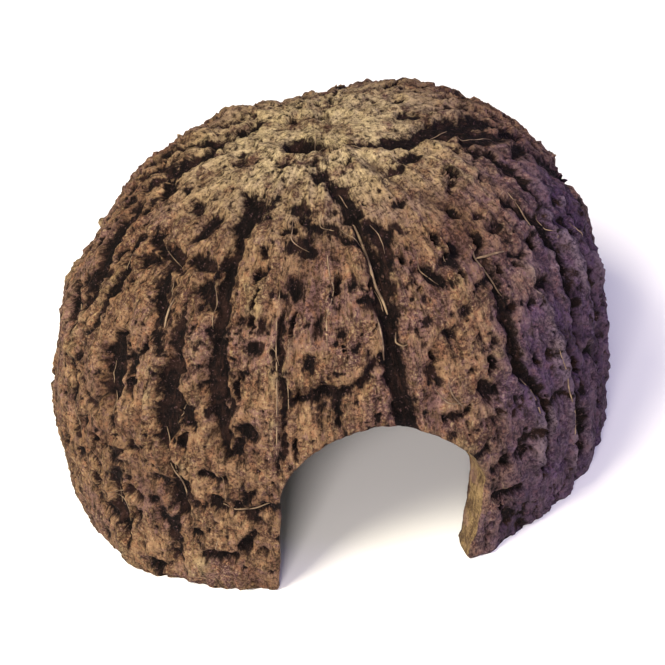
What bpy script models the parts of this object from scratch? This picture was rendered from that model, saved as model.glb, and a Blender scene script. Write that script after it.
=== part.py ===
"""Brazil nut pod, sawn off flat below its widest level and opened with an arched doorway.

One woody shell, standing on its sawn rim: the empty husk of the pod, with its crown uppermost.
Metres, +Z up, the doorway facing -Y. The origin is at the centre of the footprint box, on the ground.
A place on the shell is given by its azimuth, 0 at -Y and positive towards +X, and by its rise, the
length of the meridian from the rim up to it.
"""

import math

import bmesh
import bpy
import numpy as np

MM = 0.001

# The body: a fat superellipse over the widest level, a flatter one under it.
GIRTH_RADIUS = 57.0 * MM
GIRTH_HEIGHT = 9.5 * MM
CROWN_RISE = 67.6 * MM
CROWN_FULLNESS = 2.56
BELLY_DROP = 54.3 * MM
BELLY_FULLNESS = 2.04
BODY_HEIGHT = GIRTH_HEIGHT + CROWN_RISE

# The plan isn't round: longer along X, with three soft corners, and the crown leans.
OVAL = 0.094
THREE_CORNERED = 0.024
CORNER_AZIMUTH = math.radians(-94)
LEAN_X = 5.6 * MM
LEAN_Y = 2.3 * MM

WALL = 8.2 * MM
SAWN_STOCK = 6.0 * MM
CUTTER_OVERRUN = 3.0 * MM

# The doorway, seen along +Y: two leaning jambs under a lopsided arch. Its right side closes inwards.
DOOR_LEFT = 21.0 * MM
DOOR_RIGHT = 21.5 * MM
DOOR_MIDDLE = 1.5 * MM
DOOR_SPRING = 20.5 * MM
DOOR_TOP = 39.4 * MM
LEFT_FOOT_OUT = 3.3 * MM
RIGHT_FOOT_IN = 6.5 * MM
RIGHT_FOOT_CURVE = 1.15
RIGHT_ARCH_FULLNESS = 1.6
RIGHT_SPLAY = 0.34
FOOT_SPLAY_SHARE = 0.3
DOOR_FACE_Y = -50.3 * MM
DOOR_FRONT_Y = -70.0 * MM
DOOR_BACK_Y = -25.0 * MM

# How finely the turned bodies are divided.
SHELL_STEPS = 108
SHELL_RINGS = 27
DEN_STEPS = 60
DEN_RINGS = 14
ARCH_STEPS = 10
JAMB_STEPS = 5

# Swellings and hollows of the body: azimuth in degrees, then rise, spread and height in millimetres.
SWELLINGS = (
    (-175, 79, 9, -1.7),
    (-145, 77, 12, 0.9),
    (-122, 70, 9, 0.9),
    (-109, 58, 9, -1.5),
    (-90, 24, 9, 0.8),
    (-59, 2, 10, 0.7),
    (-38, 0, 8, -0.3),
    (22, 2, 8, 0.7),
    (70, 16, 9, -0.6),
    (79, 32, 7, -0.8),
    (120, 66, 12, 0.8),
    (160, 84, 9, -0.9),
)

# Grooves on the doorway side, each from its top to its foot: half width and depth in millimetres,
# then points of azimuth in degrees and rise in millimetres.
DOOR_SIDE_GROOVES = (
    (4.5, 1.6, ((8, 88), (7, 76))),
    (2.6, 2.6, ((3, 84), (3.6, 60), (3.6, 36))),
    (2.0, 1.2, ((-18, 92), (-16, 84))),
    (1.6, 1.4, ((-26, 70), (-25, 50), (-24, 32))),
    (3.0, 2.2, ((-45, 92), (-43, 78), (-41, 56), (-37, 36))),
    (2.6, 2.6, ((-51, 56), (-50, 40), (-47, 22))),
    (3.8, 3.0, ((-65, 55), (-65, 38))),
    (2.8, 2.4, ((-64, 21), (-64, 8))),
    (2.0, 1.8, ((-77, 68), (-81, 50), (-77, 26))),
    (3.2, 2.2, ((-86, 78), (-84, 64), (-84, 48))),
    (2.6, 1.6, ((28, 18), (27, 4))),
    (2.2, 2.2, ((35, 66), (33, 46), (37, 26), (37, 12))),
    (2.2, 1.8, ((57, 72), (57, 44))),
    (2.6, 1.6, ((48, 38), (50, 8))),
    (3.2, 2.0, ((74, 66), (73, 42))),
    (3.6, 1.8, ((64, 96), (66, 86))),
)

# Grooves round the back follow one another at a near-even pitch.
BACK_FIRST_AZIMUTH = 90.0
BACK_LAST_AZIMUTH = 262.0
BACK_PITCH = 12.3
BACK_WANDER = 3.0
BACK_TOP = 84.0
BACK_FOOT = 10.0
BACK_HALF_WIDTH = 2.6
BACK_DEPTH = 1.9
GROOVE_FADE = 5.0

# The scar where the pod hung from its stalk, beside the middle of the crown.
SCAR_AZIMUTH = -62.0
SCAR_RISE = 107.0
SCAR_SPREAD = 4.2
SCAR_DEPTH = 2.0

HUSK_BROWN = (0.125, 0.075, 0.052, 1.0)
HUSK_ROUGHNESS = 0.9


def clear_scene():
    """Remove every object, so that the model starts from nothing."""
    for stale in list(bpy.data.objects):
        bpy.data.objects.remove(stale, do_unlink=True)


def husk_material():
    """Dry, fibrous nut husk."""
    material = bpy.data.materials.new("dry_husk")
    material.use_nodes = True
    shader = material.node_tree.nodes["Principled BSDF"]
    shader.inputs["Base Color"].default_value = HUSK_BROWN
    shader.inputs["Roughness"].default_value = HUSK_ROUGHNESS
    shader.inputs["Metallic"].default_value = 0.0
    return material


def belly_radius(height, shrink):
    """Radius under the widest level, for a body made smaller all round by shrink."""
    drop = (GIRTH_HEIGHT - height) / BELLY_DROP
    return (GIRTH_RADIUS - shrink) * (1 - drop ** BELLY_FULLNESS) ** (1 / BELLY_FULLNESS)


def meridian(rings, foot, shrink):
    """Evenly spaced points from the foot up to the crown, as rows of radius, height and rise."""
    fine = 400
    low = np.linspace(foot, GIRTH_HEIGHT, fine)[:-1]
    turn = np.linspace(0, math.pi / 2, fine)
    crown_radius = (GIRTH_RADIUS - shrink) * np.cos(turn).clip(0) ** (2 / CROWN_FULLNESS)
    crown_height = GIRTH_HEIGHT + (CROWN_RISE - shrink) * np.sin(turn) ** (2 / CROWN_FULLNESS)
    crown_radius[-1] = 0.0
    radius = np.concatenate((belly_radius(low, shrink), crown_radius))
    height = np.concatenate((low, crown_height))
    length = np.concatenate(([0.0], np.cumsum(np.hypot(np.diff(radius), np.diff(height)))))
    rise = length - np.interp(0.0, height, length)
    at = np.linspace(rise[0], rise[-1], rings)
    return np.stack((np.interp(at, rise, radius), np.interp(at, rise, height), at), axis=1)


def plan_factor(azimuth):
    """How far the plan stands out at an azimuth, as a share of the mean radius."""
    oval = OVAL * -math.cos(2 * azimuth)
    corners = THREE_CORNERED * math.cos(3 * (azimuth - CORNER_AZIMUTH))
    return 1 + oval + corners


def turned_apart(azimuth, other):
    """Signed angle from other to azimuth in degrees, the short way round."""
    return (azimuth - other + 180) % 360 - 180


def groove_depth(groove, azimuth, rise, radius):
    """Depth of one groove at a place, in millimetres; azimuth in degrees."""
    half_width, depth, path = groove
    rises = [point[1] for point in reversed(path)]
    azimuths = [point[0] for point in reversed(path)]
    middle = np.interp(rise, rises, azimuths)
    across = math.radians(turned_apart(azimuth, middle)) * radius
    beyond = max(rise - rises[-1], rises[0] - rise, 0.0)
    return depth * math.exp(-(across / half_width) ** 2 - (beyond / GROOVE_FADE) ** 2)


def back_grooves():
    """The grooves away from the doorway, at a near-even pitch with a wander of their own."""
    grooves = []
    count = int((BACK_LAST_AZIMUTH - BACK_FIRST_AZIMUTH) / BACK_PITCH) + 1
    for index in range(count):
        middle = BACK_FIRST_AZIMUTH + index * BACK_PITCH
        sway = BACK_WANDER * math.sin(2.4 * index)
        top = BACK_TOP - 12 * math.cos(1.7 * index) ** 2
        foot = BACK_FOOT + 14 * math.sin(2.9 * index) ** 2
        depth = BACK_DEPTH * (0.7 + 0.3 * math.cos(2.1 * index))
        path = ((middle + sway, top), (middle, (top + foot) / 2), (middle - sway, foot))
        grooves.append((BACK_HALF_WIDTH, depth, path))
    return grooves


def relief(azimuth, rise, radius, grooves):
    """How far the husk stands out from the plain body, in millimetres; lengths in millimetres."""
    height = 0.0
    for centre, level, spread, swell in SWELLINGS:
        across = math.radians(turned_apart(azimuth, centre)) * radius
        height += swell * math.exp(-(across ** 2 + (rise - level) ** 2) / spread ** 2)
    deepest = 0.0
    for groove in grooves:
        deepest = max(deepest, groove_depth(groove, azimuth, rise, radius))
    across = math.radians(turned_apart(azimuth, SCAR_AZIMUTH)) * radius
    apart = across ** 2 + (rise - SCAR_RISE) ** 2
    scar = SCAR_DEPTH * math.exp(-apart / SCAR_SPREAD ** 2)
    return height - deepest - scar


def turned_body(name, steps, rings, foot, shrink, grooves):
    """A closed body spun from the meridian, pressed to the pod's plan and lean, then grooved."""
    profile = meridian(rings, foot, shrink)
    bm = bmesh.new()
    column = [bm.verts.new((radius, 0.0, height)) for radius, height, rise in profile]
    edges = [bm.edges.new(pair) for pair in zip(column, column[1:])]
    bmesh.ops.spin(bm, geom=column + edges, axis=(0, 0, 1), cent=(0, 0, 0), angle=2 * math.pi, steps=steps)
    bmesh.ops.remove_doubles(bm, verts=bm.verts, dist=0.01 * MM)
    rim = [edge for edge in bm.edges if edge.is_boundary]
    bmesh.ops.contextual_create(bm, geom=rim)
    bmesh.ops.recalc_face_normals(bm, faces=bm.faces)

    slope = np.gradient(profile[:, :2], profile[:, 2], axis=0)
    for vert in bm.verts:
        azimuth = math.atan2(vert.co.x, -vert.co.y)
        radius = math.hypot(vert.co.x, vert.co.y)
        height = vert.co.z
        rise = float(np.interp(height, profile[:, 1], profile[:, 2]))
        stand = 0.0
        if grooves:
            stand = relief(math.degrees(azimuth), max(rise, 0.0) / MM, radius / MM, grooves) * MM
        outward = float(np.interp(rise, profile[:, 2], slope[:, 1]))
        upward = -float(np.interp(rise, profile[:, 2], slope[:, 0]))
        reach = radius * plan_factor(azimuth) + stand * outward
        if radius < 0.01 * MM:
            reach = 0.0
        vert.co.x = reach * math.sin(azimuth) + LEAN_X * height / BODY_HEIGHT
        vert.co.y = -reach * math.cos(azimuth) + LEAN_Y * height / BODY_HEIGHT
        vert.co.z = height + stand * upward

    mesh = bpy.data.meshes.new(name)
    bm.to_mesh(mesh)
    bm.free()
    mesh.shade_smooth()
    body = bpy.data.objects.new(name, mesh)
    bpy.context.collection.objects.link(body)
    return body


def doorway_outline():
    """The doorway in the husk's face, seen along +Y, from the left foot over the arch to the right."""
    arch = DOOR_TOP - DOOR_SPRING
    bottom = -SAWN_STOCK - 2 * CUTTER_OVERRUN
    left_foot = -DOOR_LEFT + LEFT_FOOT_OUT * (bottom - DOOR_SPRING) / DOOR_SPRING
    points = [(left_foot, bottom)]
    for step in range(ARCH_STEPS):
        turn = math.pi / 2 * step / ARCH_STEPS
        across = DOOR_MIDDLE - (DOOR_LEFT + DOOR_MIDDLE) * math.cos(turn)
        points.append((across, DOOR_SPRING + arch * math.sin(turn)))
    power = 2 / RIGHT_ARCH_FULLNESS
    for step in range(ARCH_STEPS):
        turn = math.pi / 2 * (1 - step / ARCH_STEPS)
        across = DOOR_MIDDLE + (DOOR_RIGHT - DOOR_MIDDLE) * math.cos(turn) ** power
        points.append((across, DOOR_SPRING + arch * math.sin(turn) ** power))
    for step in range(JAMB_STEPS + 1):
        fall = step / JAMB_STEPS
        points.append((DOOR_RIGHT - RIGHT_FOOT_IN * fall ** RIGHT_FOOT_CURVE, DOOR_SPRING * (1 - fall)))
    points.append((DOOR_RIGHT - RIGHT_FOOT_IN, bottom))
    return points


def doorway_section(deep):
    """The doorway's outline at a depth along Y: its right side moves inwards from the face."""
    section = []
    for across, height in doorway_outline():
        share = max(0.0, (across - DOOR_MIDDLE) / (DOOR_RIGHT - DOOR_MIDDLE))
        lift = min(max(height / DOOR_SPRING, 0.0), 1.0)
        splay = RIGHT_SPLAY * share * (FOOT_SPLAY_SHARE + (1 - FOOT_SPLAY_SHARE) * lift)
        section.append((across - splay * (deep - DOOR_FACE_Y), deep, height))
    return section


def doorway_cutter():
    """The block that saws the doorway through the front wall only."""
    bm = bmesh.new()
    front = [bm.verts.new(corner) for corner in doorway_section(DOOR_FRONT_Y)]
    back = [bm.verts.new(corner) for corner in doorway_section(DOOR_BACK_Y)]
    bm.faces.new(front)
    bm.faces.new(reversed(back))
    for index in range(len(front)):
        bm.faces.new((front[index - 1], back[index - 1], back[index], front[index]))
    bmesh.ops.recalc_face_normals(bm, faces=bm.faces)
    mesh = bpy.data.meshes.new("doorway_cutter")
    bm.to_mesh(mesh)
    bm.free()
    cutter = bpy.data.objects.new("doorway_cutter", mesh)
    bpy.context.collection.objects.link(cutter)
    return cutter


def saw_cutter():
    """The block below the ground that the saw takes away, which leaves the flat rim."""
    bm = bmesh.new()
    bmesh.ops.create_cube(bm, size=1.0)
    width = 4 * GIRTH_RADIUS
    depth = 2 * (SAWN_STOCK + CUTTER_OVERRUN)
    bmesh.ops.scale(bm, verts=bm.verts, vec=(width, width, depth))
    bmesh.ops.translate(bm, verts=bm.verts, vec=(0, 0, -depth / 2))
    mesh = bpy.data.meshes.new("saw_cutter")
    bm.to_mesh(mesh)
    bm.free()
    cutter = bpy.data.objects.new("saw_cutter", mesh)
    bpy.context.collection.objects.link(cutter)
    return cutter


def cut_away(body, cutter):
    """Take a cutter out of a body, and keep the cutter as a guide that isn't part of the object."""
    cut = body.modifiers.new(cutter.name, "BOOLEAN")
    cut.operation = "DIFFERENCE"
    cut.solver = "EXACT"
    cut.object = cutter
    cutter.hide_render = True
    cutter.display_type = "WIRE"


def stand_on_origin(body, pieces):
    """Hang every piece on one empty, placed so that the finished body's footprint is centred."""
    bpy.context.view_layer.update()
    finished = body.evaluated_get(bpy.context.evaluated_depsgraph_get())
    corners = [finished.matrix_world @ vert.co for vert in finished.data.vertices]
    low = [min(corner[axis] for corner in corners) for axis in range(3)]
    high = [max(corner[axis] for corner in corners) for axis in range(3)]
    footing = bpy.data.objects.new("footing", None)
    bpy.context.collection.objects.link(footing)
    footing.location = (-(low[0] + high[0]) / 2, -(low[1] + high[1]) / 2, -low[2])
    for piece in pieces:
        piece.parent = footing


def build_pod():
    """The whole object: one husk, hollowed, with its doorway and its sawn rim."""
    grooves = list(DOOR_SIDE_GROOVES) + back_grooves()
    shell = turned_body("pod_shell", SHELL_STEPS, SHELL_RINGS, -SAWN_STOCK, 0.0, grooves)
    shell.data.materials.append(husk_material())
    den = turned_body("den_cutter", DEN_STEPS, DEN_RINGS, -SAWN_STOCK - CUTTER_OVERRUN, WALL, ())
    cutters = (den, doorway_cutter(), saw_cutter())
    for cutter in cutters:
        cut_away(shell, cutter)
    stand_on_origin(shell, (shell,) + cutters)


clear_scene()
build_pod()
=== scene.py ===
"""Brazil nut pod as a small cave: the sawn husk with its full surface, its loose fibres and a studio.

The husk is made as one closed skin. A turned blank is hollowed by a second one, cut by a doorway block
and a saw block, and remeshed evenly. The bark-like surface is then carved into it. A place on the husk
is given by its azimuth in degrees, 0 at the doorway and positive towards +X, and by its rise, the
length in millimetres of the meridian from the sawn rim up to it.
"""

import itertools
import math

import bpy
import numpy as np
from mathutils import Matrix, Vector
from mathutils.bvhtree import BVHTree


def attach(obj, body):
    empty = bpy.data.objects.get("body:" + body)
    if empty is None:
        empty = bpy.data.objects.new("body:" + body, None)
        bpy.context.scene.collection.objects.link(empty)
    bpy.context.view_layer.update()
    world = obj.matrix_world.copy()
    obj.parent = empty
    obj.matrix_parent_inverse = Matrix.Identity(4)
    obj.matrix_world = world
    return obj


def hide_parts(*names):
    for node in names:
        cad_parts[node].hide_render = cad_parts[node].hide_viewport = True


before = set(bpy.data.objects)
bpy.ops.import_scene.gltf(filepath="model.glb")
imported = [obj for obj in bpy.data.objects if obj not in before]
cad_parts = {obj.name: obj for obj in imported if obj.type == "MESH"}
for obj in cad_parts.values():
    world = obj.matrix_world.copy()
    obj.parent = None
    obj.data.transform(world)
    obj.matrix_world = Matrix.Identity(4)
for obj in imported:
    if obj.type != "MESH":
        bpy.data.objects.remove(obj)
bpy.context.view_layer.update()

bl_info = {
    "name": "Brazil Nut Pod Cave",
    "version": (1, 0, 0),
    "blender": (4, 5, 0),
    "location": "3D View > Sidebar > Nut Pod",
    "description": "Carves a sawn brazil nut pod with a doorway, its loose fibres and a plain studio",
    "category": "Add Mesh",
}

MM = 0.001

# The body of the pod, in millimetres: the same driving sizes as the frame's solid.
GIRTH_RADIUS = 57.0
GIRTH_HEIGHT = 9.5
CROWN_RISE = 67.6
CROWN_FULLNESS = 2.56
BELLY_DROP = 54.3
BELLY_FULLNESS = 2.04
BODY_HEIGHT = GIRTH_HEIGHT + CROWN_RISE
OVAL = 0.094
THREE_CORNERED = 0.024
CORNER_AZIMUTH = -94.0
LEAN = (5.6, 2.3)
TURNING_CENTRE = 15.0
MERIDIAN_STEPS = 600

# From the turning axis to the centre of the footprint box, which is the frame's origin.
FOOTING = (0.651, -0.353)

# The doorway, seen along +Y: two leaning jambs under a lopsided arch. Its right side closes inwards.
DOOR_LEFT = 21.0
DOOR_RIGHT = 21.5
DOOR_MIDDLE = 1.5
DOOR_SPRING = 20.5
DOOR_TOP = 39.4
LEFT_FOOT_OUT = 3.3
RIGHT_FOOT_IN = 6.5
RIGHT_FOOT_CURVE = 1.15
RIGHT_ARCH_FULLNESS = 1.6
RIGHT_SPLAY = 0.34
FOOT_SPLAY_SHARE = 0.3
DOOR_FACE_Y = -50.3
DOOR_FRONT_Y = -70.0
DOOR_BACK_Y = -25.0
DOOR_BELOW = -12.0

# Swellings and hollows of the body: azimuth, rise, spread and height.
SWELLINGS = (
    (-175, 79, 9, -1.7), (-145, 77, 12, 0.9), (-122, 70, 9, 0.9), (-108, 60, 9, -2.7),
    (-90, 24, 9, 0.8), (-59, 2, 10, 1.3), (-38, 0, 9, 0.7), (22, 2, 8, 0.7),
    (70, 16, 9, -0.6), (79, 32, 7, -0.8), (120, 66, 12, 0.8), (160, 84, 9, -0.9),
)

# Channels worn through the tan crust down to the dark layer: depth, then a path of azimuth, rise and
# half width. Those on the doorway side come first, from left to right.
CHANNELS = (
    (2.2, ((-103, 88, 2.5), (-98, 83, 2.0))),
    (2.0, ((-93, 74, 2.0), (-89, 69, 3.2), (-87, 63, 2.4))),
    (2.2, ((-84, 65, 1.6), (-81.5, 60, 2.0), (-83, 55, 1.6))),
    (2.4, ((-93, 54, 2.0), (-87, 51, 3.4), (-85, 47, 2.0))),
    (1.4, ((-88, 84, 0.8), (-86.5, 78, 0.7))),
    (1.8, ((-79, 73, 1.2), (-78, 69, 1.5), (-75.5, 66, 1.2), (-76, 58, 1.0), (-77, 54, 0.8))),
    (1.4, ((-76, 54, 0.7), (-79, 45, 0.8))),
    (1.8, ((-80, 43, 0.9), (-78, 35, 1.2), (-76, 27, 1.0))),
    (2.0, ((-74, 75, 1.7), (-70, 74, 1.3), (-65, 73.5, 2.2), (-61, 72, 1.4))),
    (1.3, ((-73, 71, 0.8), (-67.5, 71, 0.7))),
    (1.4, ((-71.5, 84.5, 1.6), (-68, 83.5, 1.2))),
    (1.4, ((-59, 84, 1.2), (-60, 79, 1.5))),
    (1.4, ((-63, 71, 1.0), (-60, 66, 1.4), (-58, 60, 1.0), (-56, 55, 0.7))),
    (1.8, ((-56, 74.5, 1.3), (-51, 73.5, 1.6))),
    (2.6, ((-51, 90, 2.0), (-48, 87, 3.0), (-46, 82, 1.9), (-45, 75, 1.6), (-43.5, 68, 2.0),
           (-42, 60, 1.5), (-41, 53, 2.6), (-39, 46, 1.7), (-38, 39, 1.3), (-37, 35, 0.7))),
    (2.0, ((-50, 69.5, 1.6), (-46, 67, 1.8))),
    (1.8, ((-53, 60, 2.0), (-52, 57, 1.6))),
    (2.8, ((-51.5, 55, 1.6), (-51.5, 50, 2.6), (-50.5, 44, 2.4), (-52, 39, 2.3), (-51.5, 35, 0.9),
           (-49.5, 30, 1.0), (-48.5, 26, 2.1), (-48.5, 21.5, 1.8), (-46.5, 18, 0.8))),
    (3.0, ((-68, 54, 2.2), (-67.5, 49, 3.6), (-67, 44, 3.2), (-65.8, 39.5, 1.5))),
    (1.6, ((-61.5, 52, 1.6), (-61.5, 49.5, 1.2))),
    (2.6, ((-64.2, 21, 1.9), (-64, 15, 2.2), (-62.5, 10, 1.8))),
    (1.6, ((-70.5, 14.5, 1.3), (-66.5, 12, 1.8))),
    (1.2, ((-71.5, 25, 0.9), (-68, 23.5, 1.0))),
    (2.6, ((-0.5, 84, 1.3), (2, 80, 1.2), (4.2, 73, 1.5), (4.6, 66, 2.0), (4.0, 58, 2.2), (3.6, 49, 2.3),
           (4.2, 43, 2.3), (4.8, 37, 2.3))),
    (1.5, ((6, 82, 1.6), (9, 79.5, 2.2), (9.5, 76, 1.9), (7.5, 71, 1.6))),
    (1.4, ((-1.5, 65.5, 1.8), (1, 65, 1.2))),
    (1.2, ((-7, 81, 0.7), (-3.5, 79, 0.9), (0, 77, 0.8))),
    (1.2, ((-16, 82, 1.1), (-12, 82, 1.2), (-8, 81.5, 1.0))),
    (1.2, ((-26, 79, 1.3), (-22, 79, 1.7), (-18, 77, 1.2))),
    (1.0, ((-26, 87, 1.4), (-24, 86, 1.1))),
    (1.4, ((-25.8, 68, 0.75), (-25.4, 61, 0.8), (-24.4, 54, 0.7), (-24, 46, 0.8), (-24, 38, 0.75),
           (-24.8, 32, 0.6))),
    (1.8, ((-23, 46.5, 0.9), (-18.5, 47.8, 1.3), (-14, 48.3, 1.3), (-7, 48.8, 1.0), (-4, 50.5, 1.0),
           (-1.5, 53, 0.7))),
    (1.3, ((-11, 48, 1.3), (-10.5, 43, 0.9))),
    (1.5, ((-36.5, 23.6, 0.6), (-33, 21.8, 1.0), (-29, 22.4, 1.1), (-25.5, 24, 0.9), (-20, 25, 0.8))),
    (1.3, ((-32.5, 21, 1.3), (-31.5, 19.5, 1.0))),
    (1.6, ((-40, 24.5, 1.5), (-38.8, 22.5, 1.2))),
    (1.5, ((-43.5, 10, 1.1), (-41, 9.6, 1.3), (-38, 9.6, 1.2))),
    (1.5, ((-1.5, 92, 1.8), (0, 88, 2.0), (1.5, 85, 1.6))),
    (1.1, ((-6, 93.5, 1.1), (1, 92, 1.3))),
    (1.1, ((-17, 97, 1.2), (-12, 95.5, 1.4))),
    (1.3, ((12, 50, 0.9), (13.2, 46, 0.9))),
    (1.8, ((17, 69, 1.4), (19.5, 67, 1.3), (22, 64.5, 1.3))),
    (1.4, ((24.5, 68.5, 1.3), (27, 67.5, 1.2), (30.5, 71, 1.3))),
    (2.0, ((23.6, 41.5, 1.5), (25.6, 39.5, 2.2))),
    (2.2, ((35.2, 67, 0.6), (35, 62, 0.9), (34.2, 57, 1.3), (33.5, 51, 1.2), (32.6, 46, 1.5),
           (32.8, 41.5, 2.3), (34.5, 38, 1.3), (36.6, 33, 0.9), (37.2, 28, 1.3), (37.2, 21, 1.5),
           (37, 14, 1.1))),
    (1.4, ((43, 63, 1.0), (45.5, 61.5, 1.2))),
    (2.0, ((54.5, 72, 1.1), (56.4, 66, 1.5), (57.6, 60, 1.7), (56.2, 54, 1.5), (55, 49.5, 1.9),
           (53.6, 43, 1.5), (53, 36, 0.9))),
    (1.6, ((45, 54.5, 1.4), (47.5, 53, 1.3))),
    (2.0, ((46.8, 44, 0.8), (46.9, 38, 1.3), (47.4, 33, 1.6), (48.4, 25, 1.5), (50, 16, 1.9),
           (50.4, 9, 1.6))),
    (1.5, ((55.5, 31, 1.6), (59, 28, 1.7), (60, 22, 1.2))),
    (2.2, ((72, 57, 1.8), (72.5, 50, 2.8), (74, 42, 2.2))),
    (2.0, ((48, 98.5, 1.1), (58, 96, 2.0), (67, 93.5, 2.8), (75, 91, 2.8), (82, 87.5, 3.0), (87, 84, 2.6),
           (91, 79, 1.9), (93, 72, 1.2))),
    (1.6, ((75, 84, 1.8), (79, 81, 2.4), (82, 77, 1.8))),
    (1.4, ((77, 73.5, 1.2), (82, 71, 1.8))),
    (1.2, ((54, 99, 0.8), (60, 98.5, 1.2))),
    (1.2, ((34, 92, 1.2), (38, 91.5, 1.0))),
    (1.2, ((43, 92.5, 1.0), (50, 92, 1.2))),
    (1.6, ((23.5, 15, 1.4), (27.5, 13.8, 1.6), (30.5, 14, 1.1))),
    (1.6, ((26.8, 9, 1.4), (26.2, 6, 1.3))),
    (1.3, ((30, 24, 1.0), (32, 22, 1.1))),
    (1.1, ((38.5, 30.5, 0.6), (43.5, 30, 0.6))),
    (1.8, ((66.5, 58, 1.0), (65.6, 48, 1.4), (64.4, 40, 1.5), (65, 32, 1.7), (64, 24, 1.2))),
    (1.8, ((82, 66, 1.0), (83.5, 52, 1.5), (82.5, 38, 1.5), (79, 24, 1.1))),
    (1.8, ((68.5, 82, 1.3), (69.3, 75, 2.2), (66, 68, 1.8), (64.6, 62, 1.0))),
    (1.6, ((-38, 107, 0.8), (-18, 106.5, 0.8), (0, 106, 0.5))),
    (1.5, ((30, 105, 1.0), (42, 102, 1.2), (50, 99.5, 1.0))),
    (1.4, ((63, 20, 1.0), (62, 13, 1.3))),
)

# Round pits through the crust: azimuth, rise, half size across and along, and depth.
PITS = (
    (-30, 62.5, 1.5, 2.2, 1.2), (-32, 58, 1.6, 1.5, 1.6), (-32, 41, 1.7, 2.2, 1.8),
    (-32, 25.8, 0.9, 1.5, 1.4), (-22, 69.5, 1.4, 2.4, 1.7), (-18, 54.5, 1.2, 1.9, 1.4),
    (-15, 61, 0.9, 2.3, 1.4), (-4.5, 69.3, 1.3, 1.1, 1.2), (-67.5, 30.4, 0.9, 1.7, 1.8),
    (-65, 36.5, 1.0, 1.4, 1.5), (-73.8, 33, 0.8, 1.9, 1.4), (-55.2, 21.2, 1.3, 1.2, 1.5),
    (-53, 17.5, 1.1, 1.8, 1.1), (-45, 15, 1.8, 1.3, 1.6), (-54.8, 3.8, 1.9, 1.8, 1.8),
    (-50, 7.6, 0.9, 0.9, 1.2), (-32.5, 15.2, 0.9, 0.9, 1.2), (-30, 11.6, 1.3, 0.8, 1.3),
    (-58, 9, 0.9, 0.7, 1.2), (-70, 4.5, 1.2, 1.0, 1.2), (-36, 63, 0.9, 1.2, 1.1),
    (-9, 60, 0.8, 1.2, 0.9), (-6, 56.5, 1.1, 0.9, 1.0), (-11, 66.5, 0.7, 0.8, 0.9),
    (43.4, 73.6, 1.3, 1.1, 1.6), (45.8, 69.6, 0.9, 0.8, 1.5), (41.5, 40.2, 1.2, 1.2, 1.6),
    (18, 55, 1.1, 0.9, 1.2), (24, 58, 0.9, 0.8, 1.1), (28, 50, 0.8, 1.1, 1.2),
    (21, 46, 1.0, 0.8, 1.2), (14.5, 58.5, 1.0, 0.8, 0.9), (29.5, 33, 0.9, 1.3, 1.1),
    (41, 52, 0.9, 1.2, 1.1), (51.5, 24.8, 1.6, 1.1, 1.3), (62, 60, 1.0, 1.5, 1.3),
    (66.5, 70, 1.2, 1.6, 1.2), (69, 61, 0.9, 1.7, 1.2), (15.5, 78.5, 1.0, 1.3, 1.2),
    (48.5, 98.5, 1.6, 0.8, 1.3), (22, 84, 1.5, 1.0, 1.0), (41, 20, 0.9, 1.1, 1.1),
    (42.5, 12, 1.1, 0.9, 1.1), (31.5, 5, 1.3, 1.2, 1.2), (-20, 100, 1.2, 0.9, 0.9),
    (10, 99, 1.3, 0.9, 1.0), (-46, 99, 1.4, 0.8, 0.8), (-80, 96, 1.3, 0.9, 0.9),
)

# Places where the crust is thin and mottled: azimuth, rise, half size across and along, and how much.
THIN_PATCHES = (
    (-53, 68, 9, 12, 0.30), (-50, 50, 5, 16, 0.14), (-84, 58, 6, 14, 0.22), (8, 77, 7, 9, 0.22),
    (-47, 10, 16, 9, 0.20), (-66, 16, 8, 9, 0.18), (27, 18, 7, 14, 0.22), (45, 24, 9, 16, 0.14),
    (66, 88, 14, 10, 0.22), (70, 55, 8, 18, 0.16), (18, 67, 10, 6, 0.16), (-20, 84, 12, 6, 0.18),
    (-32, 46, 5, 12, 0.06), (-100, 80, 9, 12, 0.16), (-35, 24, 8, 4, 0.10), (27, 38, 9, 6, 0.12),
    (125, 60, 14, 22, 0.14), (175, 40, 16, 20, 0.14), (-140, 50, 14, 22, 0.14), (-120, 30, 12, 12, 0.14),
)

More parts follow.
